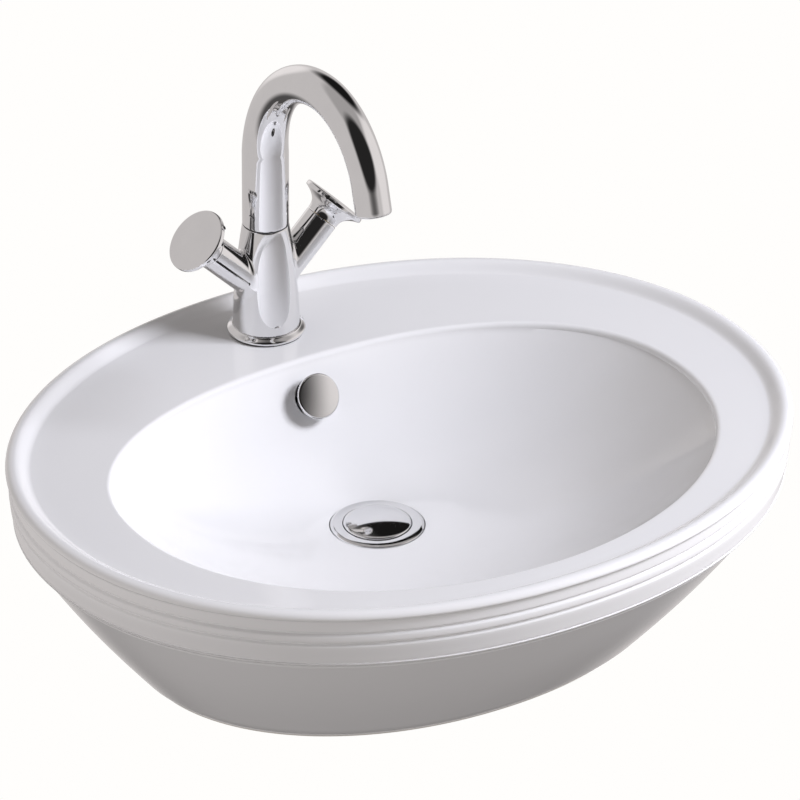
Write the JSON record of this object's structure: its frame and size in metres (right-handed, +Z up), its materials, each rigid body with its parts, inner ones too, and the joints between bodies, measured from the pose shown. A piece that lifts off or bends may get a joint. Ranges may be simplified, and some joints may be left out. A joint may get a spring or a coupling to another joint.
{
  "type": "countertop basin",
  "caption": "White oval countertop basin with a capped overflow, a push-plug waste and a swan-neck mixer with two turning disc knobs.",
  "frame": {"origin": "on the worktop under the middle of the rim", "axes": "+Z up, +X to the user's right along the rim's length, -Y towards the user, tap at the back on +Y"},
  "size_m": [0.56, 0.464, 0.382],
  "materials": {
    "glaze": "white gloss glaze",
    "chrome_trim": "polished",
    "chrome_tap": "polished",
    "brass_raw": "machined",
    "steel_plain": "zinc plated",
    "spring_steel": "drawn wire",
    "rubber_black": "matt",
    "plastic_white": "moulded",
    "plastic_dark": "moulded",
    "ceramic_disc": "lapped"
  },
  "bodies": {
    "fixed": {"basin": "glaze", "bracket_seal": "rubber_black", "cartridge_screw": "steel_plain", "click_cartridge": "plastic_white", "cold_fixed_disc": "ceramic_disc", "cold_valve_body": "brass_raw", "cold_valve_seal": "rubber_black", "fixing_bracket": "steel_plain", "fixing_nut": "brass_raw", "hot_fixed_disc": "ceramic_disc", "hot_valve_body": "brass_raw", "hot_valve_seal": "rubber_black", "overflow_cap": "chrome_trim", "overflow_sleeve": "chrome_trim", "plug_spring": "spring_steel", "spout_lock_screw": "steel_plain", "spout_washer": "plastic_dark", "tap_base_ring": "chrome_tap", "tap_base_seal": "rubber_black", "tap_body": "chrome_tap", "tap_stud": "brass_raw", "waste_backnut": "brass_raw", "waste_body": "chrome_trim", "waste_bottom_seal": "rubber_black", "waste_top_seal": "rubber_black"},
    "hot_handle": {"hot_knob": "chrome_tap", "hot_moving_disc": "ceramic_disc", "hot_spindle": "brass_raw", "hot_spindle_seal": "rubber_black", "hot_spline_bush": "plastic_white", "hot_grub_screw": "steel_plain", "hot_index_pin": "chrome_tap"},
    "cold_handle": {"cold_knob": "chrome_tap", "cold_moving_disc": "ceramic_disc", "cold_spindle": "brass_raw", "cold_spindle_seal": "rubber_black", "cold_spline_bush": "plastic_white", "cold_grub_screw": "steel_plain", "cold_index_pin": "chrome_tap"},
    "swan_neck": {"spout": "chrome_tap", "spout_o_rings": "rubber_black", "aerator_housing": "chrome_tap", "aerator_insert": "plastic_white", "aerator_seal": "rubber_black"},
    "plug": {"plug_cap": "chrome_trim", "plug_seal": "rubber_black", "plug_stem": "brass_raw"}
  },
  "joints": [
    {"name": "hot_turn", "type": "hinge", "parent": "fixed", "child": "hot_handle", "pos_m": [0, 0.18, 0.177], "axis": [-0.7071, 0, 0.7071], "range_deg": [0, 90]},
    {"name": "cold_turn", "type": "hinge", "parent": "fixed", "child": "cold_handle", "pos_m": [0, 0.18, 0.177], "axis": [0.7071, 0, 0.7071], "range_deg": [-90, 0]},
    {"name": "spout_swivel", "type": "hinge", "parent": "fixed", "child": "swan_neck", "pos_m": [0, 0.18, 0.25], "axis": [0, 0, 1], "range_deg": [-60, 60]},
    {"name": "plug_lift", "type": "slide", "parent": "fixed", "child": "plug", "axis": [0, 0, 1], "range_m": [0, 0.007], "deforming": ["plug_spring"]}
  ]
}
